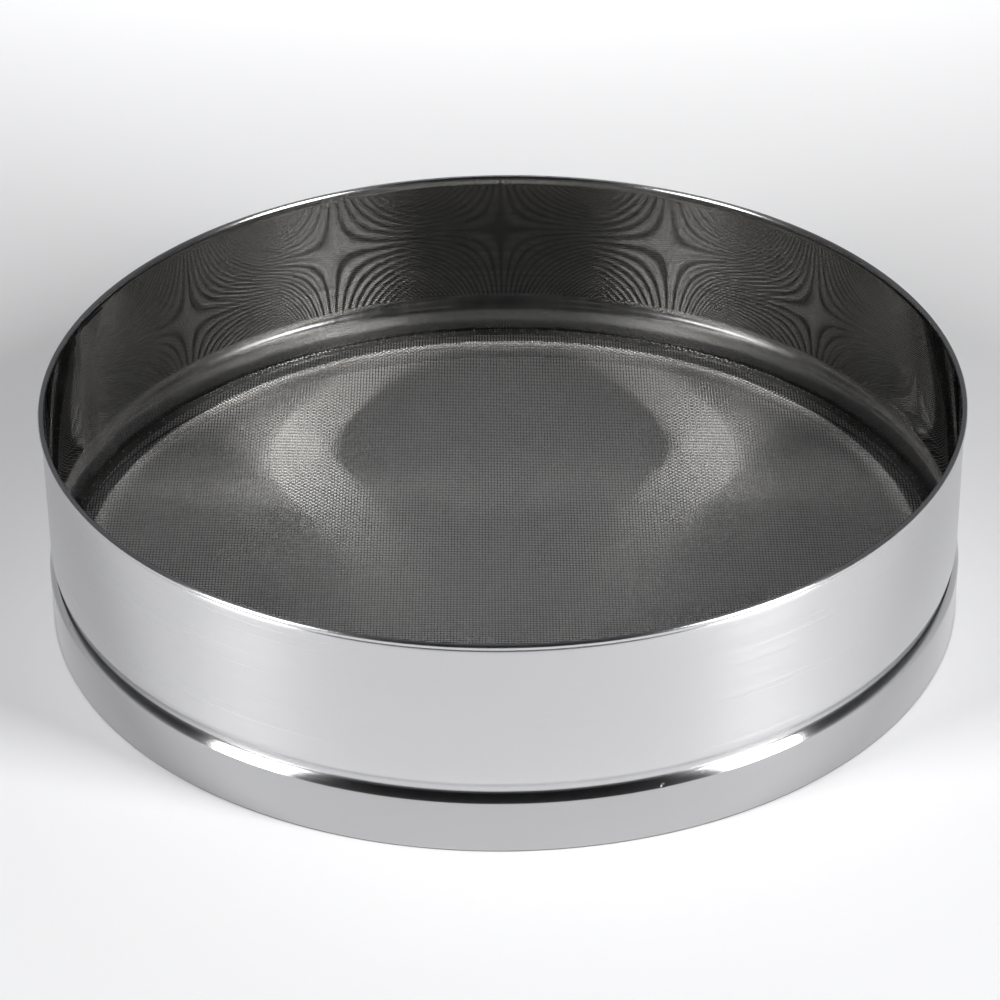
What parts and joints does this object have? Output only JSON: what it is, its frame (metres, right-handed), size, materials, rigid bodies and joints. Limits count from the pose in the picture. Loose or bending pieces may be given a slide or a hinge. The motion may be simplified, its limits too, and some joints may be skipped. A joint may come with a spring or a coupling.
{
  "type": "tamis drum sieve",
  "caption": "Wide, low drum sieve: polished steel band with a rolled rim, woven wire cloth held low inside it, and a short hoop it stands on; for sifting, straining and pureeing.",
  "frame": {"origin": "centre of the circle that the hoop's lower edge stands on, on the table", "axes": "+Z is the drum's axis, up out of the rim; -Y faces the viewer of the picture and +X is to the right; the band's lap is at the back left"},
  "size_m": [0.305, 0.305, 0.076],
  "materials": {
    "polished_sheet": "stainless steel sheet, polished, near mirror on the inside",
    "satin_sheet": "stainless steel sheet, polished to a satin",
    "woven_cloth": "plain-woven stainless steel wire cloth, bright",
    "plain_wire": "drawn steel wire"
  },
  "bodies": {
    "root": {"drum_band": "polished_sheet", "rim_wire": "plain_wire", "mesh_cloth": "woven_cloth", "base_hoop": "satin_sheet"}
  },
  "joints": []
}
